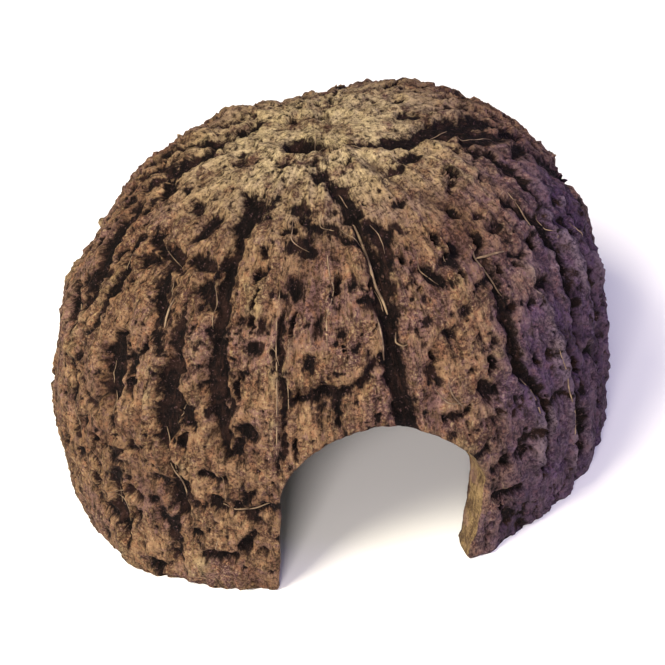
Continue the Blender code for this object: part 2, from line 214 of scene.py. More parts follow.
# Raised lines of sound crust, painted paler through the raised crust's colour, partly as painted highlight:
# height, then a path of azimuth, rise and half width.
RIDGES = (
    (1.3, ((43.6, 62, 0.5), (44.2, 50, 0.8), (44.6, 40, 0.9), (45.0, 26, 0.9), (45.4, 8, 0.5))),
    (1.2, ((35.0, 42, 0.4), (34.6, 36, 0.8), (34.8, 28, 0.9), (34.8, 18, 0.6))),
    (1.2, ((53.0, 66, 0.6), (53.2, 58, 0.9), (51.6, 50, 1.0), (50.4, 43, 0.8))),
    (1.3, ((61.5, 66, 0.7), (61.2, 56, 1.1), (59.6, 44, 1.2), (57.6, 34, 1.0), (56, 22, 0.7))),
    (1.0, ((71, 60, 0.7), (69.8, 52, 1.1), (69, 40, 1.2), (69, 28, 1.0), (67, 14, 0.7))),
    (0.6, ((78, 56, 0.7), (78.6, 46, 1.2), (77.2, 34, 1.2), (74, 16, 0.8))),
    (0.6, ((88, 54, 0.7), (88.6, 42, 1.2), (86.6, 28, 1.1))),
    (0.6, ((-27.3, 67, 0.2), (-26.6, 50, 0.25), (-26.4, 36, 0.2))),
    (0.6, ((-23.2, 66, 0.2), (-22.8, 50, 0.2))),
    (0.7, ((-1, 80, 0.3), (1, 74, 0.4), (1.6, 66, 0.2))),
    (0.6, ((-9.5, 76, 0.2), (-11, 68, 0.3), (-13, 60, 0.2))),
    (0.9, ((-34.5, 71, 1.6), (-33, 66, 2.0))),
    (0.8, ((-84, 70, 0.6), (-79.5, 60, 0.8), (-82, 46, 0.8))),
    (0.7, ((-57, 52, 0.6), (-56, 44, 0.8), (-57.5, 34, 0.6))),
    (0.8, ((63, 92, 0.8), (58, 84, 1.0), (55, 76, 0.6))),
    (0.7, ((64, 50, 0.5), (66, 40, 0.7))),
    (0.8, ((40, 98, 1.0), (20, 103, 1.2), (0, 104, 1.0))),
    (0.8, ((-95, 100, 1.0), (-70, 103, 1.2), (-45, 104, 1.0))),
    (0.7, ((-52, 97, 0.8), (-20, 101, 1.2), (10, 97, 0.8))),
)

# The larger loose strands: radius, lift over the husk, then a path of azimuth and rise.
STRANDS = (
    (0.30, 0.25, ((0.6, 83), (1.6, 80.7), (2.6, 75), (2.8, 68.5), (4.2, 65), (4.6, 62))),
    (0.22, 0.20, ((1.2, 62), (1.4, 58), (1.4, 53))),
    (0.16, 0.10, ((-11.4, 76), (-11.1, 72), (-9.9, 69), (-12.6, 63.5), (-12.8, 58))),
    (0.13, 0.00, ((-26.8, 70), (-26.6, 62), (-25.4, 52), (-25.4, 42), (-26, 34))),
    (0.11, 0.00, ((-23.0, 60), (-23.2, 52), (-23.0, 44))),
    (0.26, 0.30, ((35.0, 66.4), (37.5, 65.6), (41.7, 64.4))),
    (0.18, 0.10, ((34.2, 69.5), (35.0, 66), (35.6, 61), (35.4, 57))),
    (0.16, 0.25, ((5.9, 58), (5.2, 56), (6.6, 55), (7.6, 55.4))),
    (0.15, 0.05, ((-39, 23.0), (-35, 22.0), (-31.4, 22.2), (-28.4, 23.6))),
    (0.17, 0.15, ((-51, 31), (-49.6, 27), (-47.6, 22), (-45.6, 16.6))),
    (0.13, 0.10, ((-52.6, 39), (-51.2, 33.5), (-50, 28.6))),
    (0.20, 0.30, ((-56.4, 60), (-56.5, 62.5), (-55.6, 66))),
    (0.15, 0.05, ((42.6, 41), (44.0, 33), (44.9, 24), (45.1, 15))),
    (0.14, 0.05, ((33.2, 39), (35.0, 34), (35.2, 26))),
    (0.13, 0.05, ((57.8, 72), (57.4, 65), (56.8, 59))),
    (0.11, 0.30, ((-68, 42), (-66.6, 39.5), (-65.2, 38.4))),
    (0.12, 0.20, ((-66, 18), (-64, 15.4), (-63, 11))),
    (0.11, 0.20, ((-62, 20.5), (-64.6, 18.5), (-66.6, 18))),
    (0.14, 0.20, ((12, 45), (14, 41.5), (17, 40.5))),
    (0.14, 0.20, ((15, 46), (15.4, 42.6), (18, 39))),
)

# How finely a strand follows the husk, its smoothing, its lowest rise and how thin its tips are.
STRAND_STEPS = 5
STRAND_SMOOTHING = 2
STRAND_LOWEST = 1.5
STRAND_TIP = 0.35

# A ray that finds the carved husk starts this far outside the plain body, and is this long.
RAY_START = 6
RAY_LENGTH = 12

# The scar pit where the stalk was, beside the middle of the crown, and the hollow round it.
SCAR_AZIMUTH = -55.0
SCAR_RISE = 106.0
SCAR_ALONG = 2.6
SCAR_ACROSS = 3.6
SCAR_DEPTH = 4.4

# Mean level of the crust over the plain body, which offsets what the ridges add.
SKIN_BASE = -0.35

# Azimuths between which channels are scattered round the sides and back, and how many pits go there.
FAR_SIDE = (86.0, 254.0)
FAR_PITS = 60

# The tube that the husk is laid on, so that noise on it runs up the ribs.
TUBE_RADIUS = 50

# Rounding of the sawn edges: width of the band, how much narrower it is above the rim, share of each
# smoothing pass and number of passes.
WEAR_BAND = 1.6
WEAR_LESS_AT_RIM = 0.6
WEAR_SHARE = 0.5
WEAR_PASSES = 14

# Millimetres inside a path, and from the doorway, that a place counts when it is near neither.
FAR_OUTSIDE = -99.0
FAR_AWAY = 99.0

ARCH_STEPS = 24
OUTER_SEGMENTS = 240
OUTER_RINGS = 160
INNER_SEGMENTS = 120
INNER_RINGS = 80

# The lamps: name, azimuth and elevation in degrees, distance and size in metres, power and colour.
LAMPS = (
    ("key", -64, 58, 0.9, 0.35, 11.6, (1.0, 0.92, 0.75)),
    ("front", -20, 33, 1.0, 0.3, 7.4, (1.0, 0.92, 0.88)),
    ("violet_fill", 78, 28, 1.0, 0.5, 5.2, (0.48, 0.40, 1.0)),
)
LAMP_TARGET = (0, 0, 0.03)
SKY_STRENGTH = 0.34
FLOOR_SIZE = 6.0

# What the camera looks at, in millimetres, and the width of its sensor.
VIEW_TARGET = (1.52, -1.34, 27.4)
SENSOR_WIDTH = 36.0


def mm(length):
    """Millimetres to metres."""
    return length * MM


def srgb(text):
    """An sRGB hex value as a linear colour with alpha."""
    parts = [int(text[index:index + 2], 16) / 255 for index in (1, 3, 5)]
    linear = [part / 12.92 if part <= 0.04045 else ((part + 0.055) / 1.055) ** 2.4 for part in parts]
    return (*linear, 1.0)


# --- Shape of the pod -------------------------------------------------------------------------------


def meridian(shrink):
    """The turned outline from foot to crown: elevation and reach from its centre, rise and tilt."""
    fine = np.linspace(0, math.pi / 2, MERIDIAN_STEPS)
    wide = GIRTH_RADIUS - shrink
    crown_r = wide * np.cos(fine).clip(0) ** (2 / CROWN_FULLNESS)
    crown_z = GIRTH_HEIGHT + (CROWN_RISE - shrink) * np.sin(fine) ** (2 / CROWN_FULLNESS)
    belly_r = wide * np.cos(fine).clip(0) ** (2 / BELLY_FULLNESS)
    belly_z = GIRTH_HEIGHT - (BELLY_DROP - shrink) * np.sin(fine) ** (2 / BELLY_FULLNESS)
    radius = np.concatenate((belly_r[:0:-1], crown_r))
    height = np.concatenate((belly_z[:0:-1], crown_z))
    length = np.concatenate(([0.0], np.cumsum(np.hypot(np.diff(radius), np.diff(height)))))
    rise = length - np.interp(0.0, height, length)
    elevation = np.arctan2(height - TURNING_CENTRE, radius)
    reach = np.hypot(height - TURNING_CENTRE, radius)
    tilt = np.arctan2(-np.gradient(radius, length), np.gradient(height, length))
    return {"elevation": elevation, "reach": reach, "rise": rise, "tilt": tilt}


def plan_factor(azimuth):
    """How far the plan stands out at an azimuth in degrees, as a share of the mean radius."""
    oval = -OVAL * np.cos(np.radians(2 * azimuth))
    return 1 + oval + THREE_CORNERED * np.cos(np.radians(3 * (azimuth - CORNER_AZIMUTH)))


def turned_apart(azimuth, other):
    """Signed angle from other to azimuth in degrees, the short way round."""
    return (azimuth - other + 180) % 360 - 180


def on_form(outline, azimuth, elevation):
    """Place on the pod's plain form; azimuth in degrees, elevation in radians, lengths in millimetres."""
    reach = np.interp(elevation, outline["elevation"], outline["reach"])
    around = reach * np.cos(elevation) * plan_factor(azimuth)
    height = TURNING_CENTRE + reach * np.sin(elevation)
    turn = np.radians(azimuth)
    across = around * np.sin(turn) + LEAN[0] * height / BODY_HEIGHT
    deep = -around * np.cos(turn) + LEAN[1] * height / BODY_HEIGHT
    return across, deep, height


def direction(azimuth, elevation):
    """Unit vector from the pod towards an azimuth and elevation in degrees."""
    turn = math.radians(azimuth)
    lift = math.radians(elevation)
    return Vector((math.sin(turn) * math.cos(lift), -math.cos(turn) * math.cos(lift), math.sin(lift)))


def press_to_form(points, shrink):
    """Move points of a ball about the origin onto the pod's form; millimetres."""
    azimuth = np.degrees(np.arctan2(points[:, 0], -points[:, 1]))
    elevation = np.arctan2(points[:, 2], np.hypot(points[:, 0], points[:, 1]))
    return np.stack(on_form(meridian(shrink), azimuth, elevation), axis=1)


def husk_places(points):
    """Azimuth, rise, depth under the plain outside, mean radius and outward direction of each point."""
    outline = meridian(0.0)
    across = points[:, 0] - LEAN[0] * points[:, 2] / BODY_HEIGHT
    deep = points[:, 1] - LEAN[1] * points[:, 2] / BODY_HEIGHT
    azimuth = np.degrees(np.arctan2(across, -deep))
    radius = np.hypot(across, deep) / plan_factor(azimuth)
    elevation = np.arctan2(points[:, 2] - TURNING_CENTRE, radius)
    reach = np.hypot(points[:, 2] - TURNING_CENTRE, radius)
    tilt = np.interp(elevation, outline["elevation"], outline["tilt"])
    under = np.interp(elevation, outline["elevation"], outline["reach"]) - reach
    turn = np.radians(azimuth)
    outward = np.stack((np.cos(tilt) * np.sin(turn), -np.cos(tilt) * np.cos(turn), np.sin(tilt)), axis=1)
    return {
        "azimuth": azimuth,
        "rise": np.interp(elevation, outline["elevation"], outline["rise"]),
        "depth": under * np.cos(tilt - elevation),
        "radius": np.hypot(across, deep),
        "outward": outward,
    }


def doorway_outline():
    """The doorway in the husk's face, seen along +Y, from the left foot over the arch to the right."""
    arch = DOOR_TOP - DOOR_SPRING
    foot = -DOOR_LEFT + LEFT_FOOT_OUT * (DOOR_BELOW - DOOR_SPRING) / DOOR_SPRING
    points = [(foot, DOOR_BELOW)]
    for step in range(ARCH_STEPS):
        turn = math.pi / 2 * step / ARCH_STEPS
        across = DOOR_MIDDLE - (DOOR_LEFT + DOOR_MIDDLE) * math.cos(turn)
        points.append((across, DOOR_SPRING + arch * math.sin(turn)))
    power = 2 / RIGHT_ARCH_FULLNESS
    for step in range(ARCH_STEPS):
        turn = math.pi / 2 * (1 - step / ARCH_STEPS)
        across = DOOR_MIDDLE + (DOOR_RIGHT - DOOR_MIDDLE) * math.cos(turn) ** power
        points.append((across, DOOR_SPRING + arch * math.sin(turn) ** power))
    for step in range(ARCH_STEPS + 1):
        fall = step / ARCH_STEPS
        points.append((DOOR_RIGHT - RIGHT_FOOT_IN * fall ** RIGHT_FOOT_CURVE, DOOR_SPRING * (1 - fall)))
    points.append((DOOR_RIGHT - RIGHT_FOOT_IN, DOOR_BELOW))
    return points


def doorway_splay(across, height):
    """How fast the doorway's side moves inwards with depth, for places on or near its outline."""
    share = np.clip((across - DOOR_MIDDLE) / (DOOR_RIGHT - DOOR_MIDDLE), 0, 1.2)
    lift = np.clip(height / DOOR_SPRING, 0, 1)
    return RIGHT_SPLAY * share * (FOOT_SPLAY_SHARE + (1 - FOOT_SPLAY_SHARE) * lift)


# --- Noise and paths --------------------------------------------------------------------------------


def hashed(cell, seed):
    """A repeatable whole number for each lattice cell."""
    mixed = cell[:, 0] * 374761393 + cell[:, 1] * 668265263 + cell[:, 2] * 1440662683 + seed * 982451653
    mixed = (mixed ^ (mixed >> 13)) & 0xFFFFFFFF
    mixed = (mixed * 1274126177) & 0xFFFFFFFF
    return (mixed ^ (mixed >> 16)) & 0x3FFFFFFF


def noise(points, size, seed):
    """Smooth gradient noise from about -1 to 1, with bumps about as wide as size."""
    grid = points / size
    cell = np.floor(grid).astype(np.int64)
    part = grid - cell
    fade = part ** 3 * (part * (part * 6 - 15) + 10)
    total = np.zeros(len(points))
    for corner in itertools.product((0, 1), repeat=3):
        offset = np.array(corner)
        code = hashed(cell + offset, seed)
        slope = np.stack((code & 1023, (code >> 10) & 1023, (code >> 20) & 1023), axis=1) / 511.5 - 1
        weight = np.where(offset == 1, fade, 1 - fade).prod(axis=1)
        total += weight * (slope * (part - offset)).sum(axis=1)
    return total * 1.6


def layers(points, *waves):
    """Noises added together, each given by its amount, size and seed."""
    return sum(amount * noise(points, size, seed) for amount, size, seed in waves)


def smooth_step(low, high, value):
    """0 under low, 1 over high, and a smooth ramp between them."""
    share = np.clip((value - low) / (high - low), 0, 1)
    return share * share * (3 - 2 * share)


def round_husk(azimuth, centre, radius):
    """Signed distance round the husk from a centre azimuth, in millimetres."""
    return turned_apart(azimuth, centre) * np.radians(1.0) * radius


def on_tube(azimuth, rise, squeeze):
    """The husk laid on a straight tube, squeezed along its length."""
    turn = np.radians(azimuth)
    return np.stack((TUBE_RADIUS * np.sin(turn), TUBE_RADIUS * np.cos(turn), squeeze * rise), axis=1)


def inside_path(azimuth, rise, radius, path):
    """How far inside a path of varying half width each place is, in millimetres; negative outside."""
    best = np.full(len(azimuth), FAR_OUTSIDE)
    lowest = min(point[1] for point in path) - 8
    highest = max(point[1] for point in path) + 8
    near = np.flatnonzero((rise > lowest) & (rise < highest))
    scale = np.radians(1.0) * radius[near]
    ends = []
    for spot, level, half_width in path:
        ends.append((turned_apart(spot, azimuth[near]) * scale, level - rise[near], half_width))
    found = np.full(len(near), FAR_OUTSIDE)
    for start, end in zip(ends, ends[1:]):
        run_u = end[0] - start[0]
        run_v = end[1] - start[1]
        long = run_u ** 2 + run_v ** 2 + 1e-9
        share = np.clip(-(start[0] * run_u + start[1] * run_v) / long, 0, 1)
        away = np.hypot(start[0] + share * run_u, start[1] + share * run_v)
        found = np.maximum(found, start[2] + share * (end[2] - start[2]) - away)
    best[near] = found
    return best


def inside_pit(azimuth, rise, radius, pit):
    """How far inside an oval pit each place is, in millimetres; negative outside."""
    across = round_husk(azimuth, pit[0], radius) / pit[2]
    along = (rise - pit[1]) / pit[3]
    return (1 - np.hypot(across, along)) * min(pit[2], pit[3])


# --- Surface of the husk ----------------------------------------------------------------------------


def far_side_channels():
    """Channels round the sides and back, at a near-even pitch, each with a wander and gaps of its own."""
    rng = np.random.default_rng(20)
    channels = []
    middle, last = FAR_SIDE
    while middle < last:
        top = rng.uniform(74, 92)
        foot = rng.uniform(4, 26)
        gap = rng.uniform(30, 60)
        for start, end in ((top, gap + 3), (gap - 3, foot)):
            path = []
            for rise in np.linspace(start, end, 5):
                half_width = rng.uniform(0.7, 2.6) * (0.75 if rise > 78 else 1.0)
                path.append((middle + rng.uniform(-2.2, 2.2), rise, half_width))
            channels.append((rng.uniform(1.4, 2.8), tuple(path)))
        for _ in range(2):
            rise = rng.uniform(12, 84)
            place = middle + rng.uniform(2, 7)
            path = ((place, rise, 1.0), (place + rng.uniform(3, 6), rise + rng.uniform(-2, 2), 0.8))
            channels.append((rng.uniform(1.0, 1.6), path))
        middle += rng.uniform(10.5, 13.5)
    return channels


def far_side_pits():
    """Scattered pits round the sides and back."""
    rng = np.random.default_rng(31)
    pits = []
    # Azimuth, rise, half size across and along, and depth.
    ranges = ((80, 262), (6, 98), (0.8, 1.8), (0.9, 2.4), (0.9, 1.8))
    for _ in range(FAR_PITS):
        pits.append(tuple(rng.uniform(low, high) for low, high in ranges))
    return pits


def husk_relief(points, place):
    """Height of the husk over the plain body, how bare each place is, and how raised its crust is."""
    azimuth, rise, radius = place["azimuth"], place["rise"], place["radius"]
    ribbed = on_tube(azimuth, rise, 0.30)
    fibrous = on_tube(azimuth, rise, 0.16)

    height = np.full(len(points), SKIN_BASE)
    for centre, level, spread, swell in SWELLINGS:
        across = round_husk(azimuth, centre, radius)
        height += swell * np.exp(-(across ** 2 + (rise - level) ** 2) / spread ** 2)

    # The channels' edges are ragged: each place is looked up a little to one side.
    ragged_u = layers(points, (1.0, 4.0, 1), (0.65, 1.9, 2), (0.35, 0.95, 15))
    ragged_v = layers(points, (1.3, 4.2, 3), (0.7, 1.8, 4))
    warped = azimuth + np.degrees(ragged_u / np.maximum(radius, 4.0))
    shifted = rise + ragged_v
    crumbs = np.maximum(noise(points, 1.9, 16) - 0.12, 0) * 2.6

    carve = np.zeros(len(points))
    bare = np.full(len(points), -6.0)
    for depth, path in CHANNELS + tuple(far_side_channels()):
        inside = inside_path(warped, shifted, radius, path) - 0.05
        carve = np.maximum(carve, depth * smooth_step(-1.3, 0.9, inside - 0.4 * crumbs))
        bare = np.maximum(bare, inside)
    for pit in PITS + tuple(far_side_pits()):
        inside = inside_pit(warped, shifted, radius, pit)
        carve = np.maximum(carve, pit[4] * smooth_step(-0.8, 0.9 * min(pit[2], pit[3]), inside))
        bare = np.maximum(bare, inside)
    bare -= 0.45 * crumbs * smooth_step(-0.5, 0.8, bare)

    # Crust worn through by weather, more to the left of the doorway, less to its right and at the crown.
    weathered = noise(ribbed, 5.0, 5) + 0.6 * noise(points, 2.2, 6) + 0.25 * noise(points, 1.1, 17)
    left = np.exp(-((turned_apart(azimuth, -62)) / 42) ** 2)
    right = np.exp(-((turned_apart(azimuth, 58)) / 36) ** 2) * (1 - smooth_step(84, 100, rise))
    sound = 0.74 - 0.10 * left + 0.16 * right + 0.35 * smooth_step(90, 106, rise)
    thin = np.zeros(len(points))
    for centre, level, across, along, share in THIN_PATCHES:
        away = np.hypot(round_husk(azimuth, centre, radius) / across, (rise - level) / along)
        thin = np.maximum(thin, share * smooth_step(1.25, 0.35, away))
    worn = (weathered - sound + thin) * 2.0
    carve = np.maximum(carve, 1.1 * smooth_step(-0.8, 0.8, worn))
    bare = np.maximum(bare, worn)

    # Small irregular pits, where the crust has crumbled.
    rough = 0.6 + 0.4 * smooth_step(-0.35, 0.25, noise(points, 13, 18))
    crumbled = layers(points, (1.0, 1.45, 7), (0.5, 0.8, 19)) - 0.60 + 0.20 * (1 - rough) - 0.12 * right
    carve = np.maximum(carve, 0.6 * smooth_step(-0.12, 0.30, crumbled))
    bare = np.maximum(bare, np.minimum(crumbled * 1.8, 0.6))

    # Thin cracks along the ribs.
    crack = np.abs(noise(fibrous, 4.6, 20) + 0.10 * noise(points, 1.4, 26))
    cracked = smooth_step(0.075, 0.0, crack) * smooth_step(0.0, 0.35, noise(points, 10, 27))
    carve = np.maximum(carve, 0.75 * cracked)
    bare = np.maximum(bare, 0.55 * cracked - 0.35)

    # Folds, lumps and grains of the crust; over the crown wide folds take the place of the ribs' folds.
    raised = 0.8 * noise(ribbed, 9.5, 8) + 0.3 * noise(points, 7.0, 9)
    folds = np.abs(noise(ribbed, 5.2, 28) + 0.25 * noise(points, 2.6, 29))
    lumps = np.abs(noise(points, 3.0, 10))
    grains = np.abs(noise(points, 1.5, 11))
    wrinkles = np.abs(noise(fibrous, 2.9, 32) + 0.2 * noise(points, 1.6, 33))
    beside_crown = 1 - smooth_step(90, 105, rise)
    creased = (1.1 * (folds - 0.3) + 0.55 * (wrinkles - 0.3)) * beside_crown
    creased += (0.6 * (lumps - 0.3) + 0.42 * (grains - 0.3)) * rough
    crown_folds = np.abs(noise(points * (0.6, 1.2, 1.0), 4.6, 34)) - 0.25
    creased += 0.9 * (1 - beside_crown) * crown_folds

    # Long folds run down the side right of the doorway, and the named ridges come on top.
    long_folds = np.abs(noise(fibrous, 5.4, 35) + 0.28 * noise(points, 2.6, 36))
    creased += 1.7 * right * (long_folds - 0.28)
    raised += creased
    for swell, path in RIDGES:
        raised += swell * smooth_step(-0.8, 0.8, inside_path(warped, shifted, radius, path))

    # Grit on the crust, and fibres that stand out of the dark layer.
    grit = 0.16 * noise(points, 0.95, 12) + 0.12 * noise(fibrous, 1.2, 30)
    rough_floor = 0.40 * noise(fibrous, 1.9, 13) + 0.3 * noise(points, 1.3, 31)
    rough_floor *= smooth_step(0, 0.8, bare)

    # The scar pit, and a crown that is a little calmer than the sides.
    across = round_husk(azimuth, SCAR_AZIMUTH, radius)
    scar = 1 - np.hypot(across / SCAR_ACROSS, (rise - SCAR_RISE) / SCAR_ALONG)
    carve = np.maximum(carve, SCAR_DEPTH * smooth_step(-0.5, 0.75, scar + 0.12 * noise(points, 1.5, 14)))
    bare = np.maximum(bare, 3.0 * scar + 0.5)
    calm = 1 - 0.4 * smooth_step(96, 110, rise)
    sound_share = 1 - 0.6 * smooth_step(0.3, 1.2, bare)
    return height + calm * (raised * sound_share + grit) - carve + rough_floor, bare, raised


# --- Making the husk --------------------------------------------------------------------------------


def start_clean():
    """Object mode with nothing selected."""
    if bpy.context.object and bpy.context.object.mode != "OBJECT":
        bpy.ops.object.mode_set(mode="OBJECT")
    bpy.ops.object.select_all(action="DESELECT")


def pick(piece):
    """Make one piece the active object, and the only one selected."""
    start_clean()
    piece.select_set(True)
    bpy.context.view_layer.objects.active = piece


def coordinates(piece):
    """A mesh's vertex positions, in millimetres."""
    flat = np.empty(len(piece.data.vertices) * 3)
    piece.data.vertices.foreach_get("co", flat)
    return flat.reshape(-1, 3) / MM


def put_coordinates(piece, points):
    """Write vertex positions given in millimetres."""
    piece.data.vertices.foreach_set("co", (points * MM).ravel())
    piece.data.update()


def put_attribute(piece, name, values):
    """Store one number a vertex, or three, for the piece's material."""
    kind = "FLOAT" if values.ndim == 1 else "FLOAT_VECTOR"
    field = "value" if values.ndim == 1 else "vector"
    layer = piece.data.attributes.new(name, kind, "POINT")
    layer.data.foreach_set(field, values.astype(np.float32).ravel())


def turned_blank(name, segments, rings, shrink):
    """A ball pressed to the pod's form, whole from crown to foot."""
    start_clean()
    radius = mm(GIRTH_RADIUS)
    bpy.ops.mesh.primitive_uv_sphere_add(segments=segments, ring_count=rings, radius=radius)
    blank = bpy.context.object
    blank.name = name
    put_coordinates(blank, press_to_form(coordinates(blank), shrink))
    return blank


def doorway_block():
    """The block that the doorway saw takes out: the outline's face, extruded along Y and splayed."""
    start_clean()
    outline = doorway_outline()
    bpy.ops.mesh.primitive_circle_add(vertices=len(outline), radius=mm(DOOR_LEFT), fill_type="NGON")
    block = bpy.context.object
    block.name = "doorway_block"
    put_coordinates(block, np.array([(across, DOOR_FRONT_Y, height) for across, height in outline]))
    bpy.ops.object.mode_set(mode="EDIT")
    bpy.ops.mesh.select_all(action="SELECT")
    depth = mm(DOOR_BACK_Y - DOOR_FRONT_Y)
    bpy.ops.mesh.extrude_region_move(TRANSFORM_OT_translate={"value": (0, depth, 0)})
    bpy.ops.mesh.select_all(action="SELECT")
    bpy.ops.mesh.normals_make_consistent(inside=False)
    bpy.ops.object.mode_set(mode="OBJECT")
    points = coordinates(block)
    points[:, 0] -= doorway_splay(points[:, 0], points[:, 2]) * (points[:, 1] - DOOR_FACE_Y)
    put_coordinates(block, points)
    return block


def saw_block():
    """The block under the ground that leaves the flat rim."""
    start_clean()
    size = mm(4 * GIRTH_RADIUS)
    bpy.ops.mesh.primitive_cube_add(size=size, location=(0, 0, -size / 2))
    block = bpy.context.object
    block.name = "saw_block"
    bpy.ops.object.transform_apply(location=True, rotation=True, scale=True)
    return block


def cut_away(body, cutter):
    """Cut one blank out of another and throw the cutter away."""
    pick(body)
    cut = body.modifiers.new(cutter.name, "BOOLEAN")
    cut.operation = "DIFFERENCE"
    cut.solver = "EXACT"
    cut.object = cutter
    bpy.ops.object.modifier_apply(modifier=cut.name)
    bpy.data.objects.remove(cutter, do_unlink=True)


def doorway_gap(points):
    """Millimetres from each point to the doorway's sawn surface; a large number on the far side."""
    outline = doorway_outline()
    gap = np.full(len(points), FAR_AWAY)
    front = np.flatnonzero(points[:, 1] < 0)
    height = points[front, 2]
    across = points[front, 0]
    for _ in range(2):
        across = points[front, 0] + doorway_splay(across, height) * (points[front, 1] - DOOR_FACE_Y)
    best = np.full(len(front), FAR_AWAY)
    for start, end in zip(outline, outline[1:]):
        run = (end[0] - start[0], end[1] - start[1])
        long = run[0] ** 2 + run[1] ** 2
        share = np.clip(((across - start[0]) * run[0] + (height - start[1]) * run[1]) / long, 0, 1)
        away = np.hypot(across - start[0] - share * run[0], height - start[1] - share * run[1])
        best = np.minimum(best, away)
    gap[front] = best
    return gap


def wear_edges(husk, wall):
    """Round the sawn edges a little, as handling and water do."""
    points = coordinates(husk)
    place = husk_places(points)
    near_cut = np.minimum(doorway_gap(points), points[:, 2] + WEAR_LESS_AT_RIM) < WEAR_BAND
    near_skin = np.minimum(np.abs(place["depth"]), np.abs(place["depth"] - wall)) < WEAR_BAND
    pick(husk)
    husk.data.vertices.foreach_set("select", near_cut & near_skin)
    for parts in (husk.data.edges, husk.data.polygons):
        parts.foreach_set("select", np.zeros(len(parts), bool))
    bpy.ops.object.mode_set(mode="EDIT")
    bpy.ops.mesh.select_mode(type="VERT")
    bpy.ops.mesh.vertices_smooth(factor=WEAR_SHARE, repeat=WEAR_PASSES)
    bpy.ops.object.mode_set(mode="OBJECT")


def carve_husk(husk, wall, relief_share):
    """Press the surface into the remeshed husk, and store what its material reads."""
    points = coordinates(husk)
    place = husk_places(points)
    depth = place["depth"]
    relief = np.zeros(len(points))
    bare = np.full(len(points), -3.0)
    raised = np.zeros(len(points))
    skin = np.flatnonzero(depth < wall - 0.5)
    skin_place = {name: values[skin] for name, values in place.items()}
    relief[skin], bare[skin], raised[skin] = husk_relief(points[skin], skin_place)

    through = np.clip(1 - depth / wall, 0, 1)
    inner = smooth_step(wall - 1.2, wall - 0.3, depth)
    on_rim = points[:, 2] < 0.3
    gap = doorway_gap(points)
    sawn = (1 - inner) * smooth_step(0.5, 1.5, depth)

    # A channel that reaches the doorway stops short of notching its edge.
    edge_share = 1 - 0.65 * smooth_step(3.0, 0.5, gap)
    ridge_share = 1 - 0.4 * smooth_step(2.0, 0.5, gap)
    relief = np.where(relief < 0, relief * edge_share, relief * ridge_share)

    # The relief fades out through the wall, the lining waves a little and the doorway is sawn roughly.
    moved = points + place["outward"] * (relief_share * relief * through)[:, None]
    lining = 0.55 * noise(points, 9, 21) + 0.25 * noise(points, 3, 22)
    moved -= place["outward"] * (inner * lining)[:, None]
    sawn_rough = 0.22 * noise(points * (1, 1, 0.35), 1.6, 23) + 0.75 * noise(points, 6.0, 24)
    sawn_rough *= smooth_step(0.0, 2.0, depth)
    side = np.sign(points[:, 0] + 1.0)
    facing = np.where(gap < 1.2, side, 0.0) * smooth_step(34, 28, points[:, 2])
    moved[:, 0] += facing * sawn_rough * (1 - inner * 0.3)

    # The rim stays flat on the ground, apart from chips along its outer edge.
    chips = np.maximum(noise(points, 4.0, 25) - 0.25, 0) * 1.2 * smooth_step(2.5, 0.0, np.abs(depth))
    moved[:, 2] = np.where(on_rim, np.maximum(chips, 0.0), np.maximum(moved[:, 2], 0.02))
    put_coordinates(husk, moved)

    put_attribute(husk, "bare", np.clip(bare, -3, 3))
    put_attribute(husk, "raised", np.clip(raised, -2, 2))
    put_attribute(husk, "sawn", sawn)
    put_attribute(husk, "inner", inner)
    put_attribute(husk, "grain", on_tube(place["azimuth"], place["rise"], 1.0))


def on_husk(tree, azimuth, rise, lift):
    """The place on the husk at an azimuth and rise, raised by lift, in metres; None over the doorway."""
    outline = meridian(0.0)
    elevation = np.interp(rise, outline["rise"], outline["elevation"])
    tilt = np.interp(elevation, outline["elevation"], outline["tilt"])
    across, deep, height = on_form(outline, azimuth, elevation)
    plain = Vector((across + FOOTING[0], deep + FOOTING[1], height))
    outward = direction(azimuth, math.degrees(tilt))
    start = (plain + RAY_START * outward) * MM
    found = tree.ray_cast(start, -outward, mm(RAY_LENGTH))[0]
    return found and found + outward * mm(lift)


def strand_paths():
    """Every loose strand: radius, lift and its path of azimuth and rise."""
    rng = np.random.default_rng(44)
    strands = list(STRANDS)
    paths = [channel[1] for channel in CHANNELS + tuple(far_side_channels())]
    for path in paths:
        if len(path) < 3:
            continue
        middles, levels, _ = zip(*reversed(path))
        low, high = sorted((path[0][1], path[-1][1]))
        length = rng.uniform(3.0, 9.0)
        foot = rng.uniform(low, max(high - length, low + 0.5))
        edge = rng.choice((-1, 1)) * rng.uniform(0.3, 2.6)
        sweep = rng.uniform(-1.6, 1.6)
        spots = []
        for share, rise in zip(np.linspace(0, 1, 4), np.linspace(foot, foot + length, 4)):
            spots.append((np.interp(rise, levels, middles) + edge + sweep * share ** 2, rise))
        strands.append((rng.uniform(0.06, 0.11), rng.uniform(0.0, 0.2), tuple(spots)))
    return strands


def thin_out(husk, triangles):
    """Spend the triangles where the surface bends most."""
    pick(husk)
    counted = sum(len(face.vertices) - 2 for face in husk.data.polygons)
    if counted <= triangles:
        return
    thin = husk.modifiers.new("thin_out", "DECIMATE")
    thin.ratio = triangles / counted
    bpy.ops.object.modifier_apply(modifier=thin.name)


# --- Materials --------------------------------------------------------------------------------------


def node(tree, kind, links=(), **settings):
    """Add a node with its settings and links; a link is an input and a value or an output socket."""
    made = tree.nodes.new(kind)
    for name, value in settings.items():
        setattr(made, name, value)
    for socket, value in links:
        if isinstance(value, bpy.types.NodeSocket):
            tree.links.new(value, made.inputs[socket])
        else:
            made.inputs[socket].default_value = value
    return made


def blank_material(name):
    """A material with its shader and output only."""
    material = bpy.data.materials.new(name)
    material.use_nodes = True
    tree = material.node_tree
    return material, tree, tree.nodes["Principled BSDF"]


